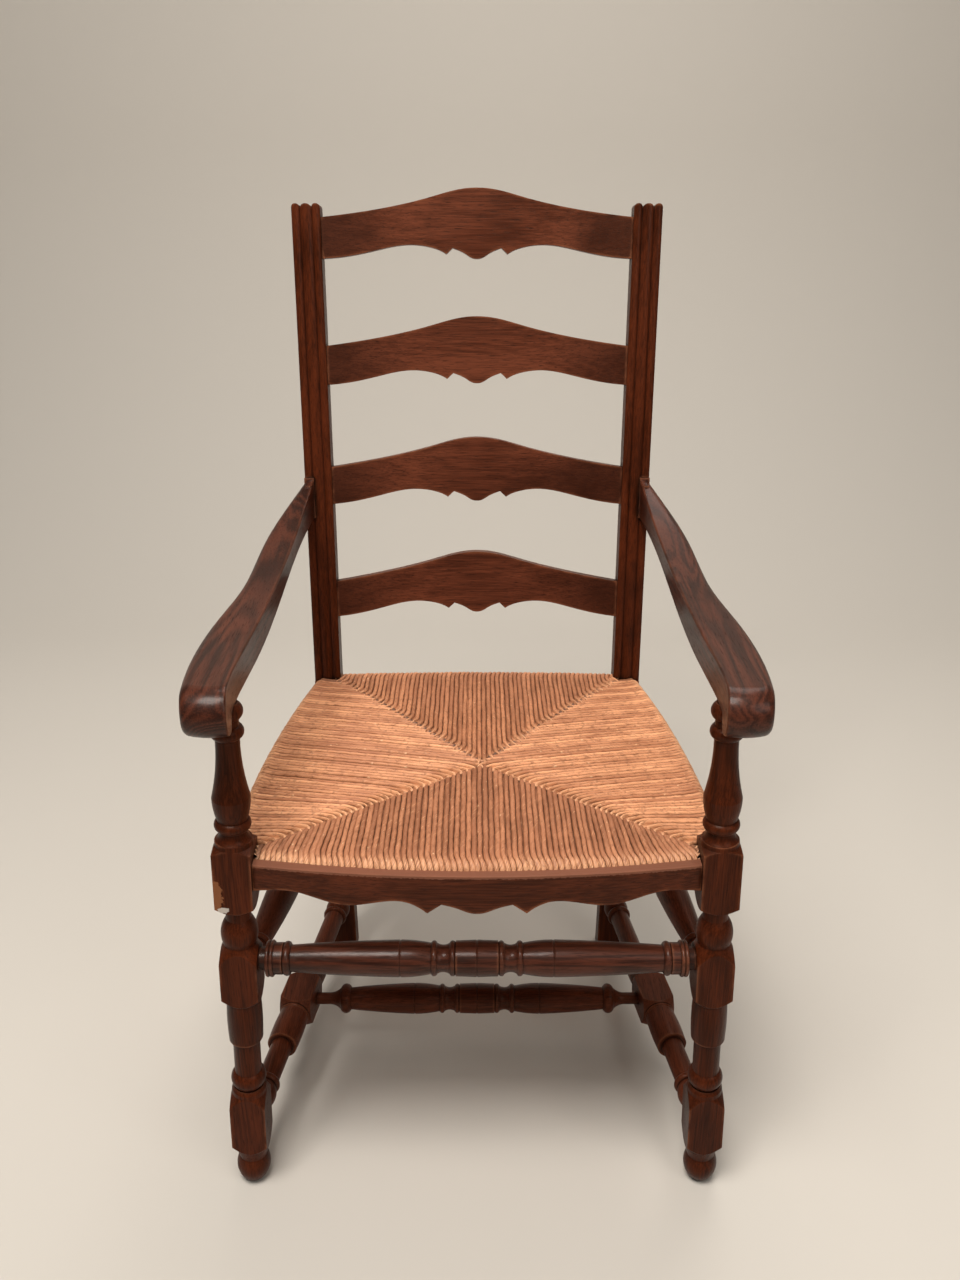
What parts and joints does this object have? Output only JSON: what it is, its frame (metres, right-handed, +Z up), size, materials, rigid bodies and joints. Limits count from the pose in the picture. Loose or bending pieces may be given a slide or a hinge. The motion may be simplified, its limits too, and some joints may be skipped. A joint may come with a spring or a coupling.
{
  "type": "ladder-back armchair",
  "caption": "Ladder-back armchair with turned legs and stretchers, shaped slats, scrolled arms and a woven rush seat; free-standing, for one person to sit on.",
  "frame": {"origin": "on the floor, under the middle of the chair's box", "axes": "+Z up, -Y the way the sitter faces, +X to the right seen from the front"},
  "size_m": [0.569, 0.6056, 1.0848],
  "materials": {
    "stained_wood": "dark reddish-brown stain, worn satin wax",
    "plain_wood": "unfinished, hidden in the seat",
    "rush": "twisted rush cord, orange tan, dry and matt"
  },
  "bodies": {
    "root": {"front_leg_left": "stained_wood", "front_leg_right": "stained_wood", "back_post_left": "stained_wood", "back_post_right": "stained_wood", "slat_top": "stained_wood", "slat_upper": "stained_wood", "slat_lower": "stained_wood", "slat_bottom": "stained_wood", "arm_left": "stained_wood", "arm_right": "stained_wood", "front_apron": "stained_wood", "seat_rail_front": "plain_wood", "seat_rail_back": "plain_wood", "seat_rail_left": "plain_wood", "seat_rail_right": "plain_wood", "rush_seat": "rush", "front_stretcher": "stained_wood", "cross_stretcher": "stained_wood", "upper_side_stretcher_left": "stained_wood", "upper_side_stretcher_right": "stained_wood", "lower_side_stretcher_left": "stained_wood", "lower_side_stretcher_right": "stained_wood"}
  },
  "joints": []
}
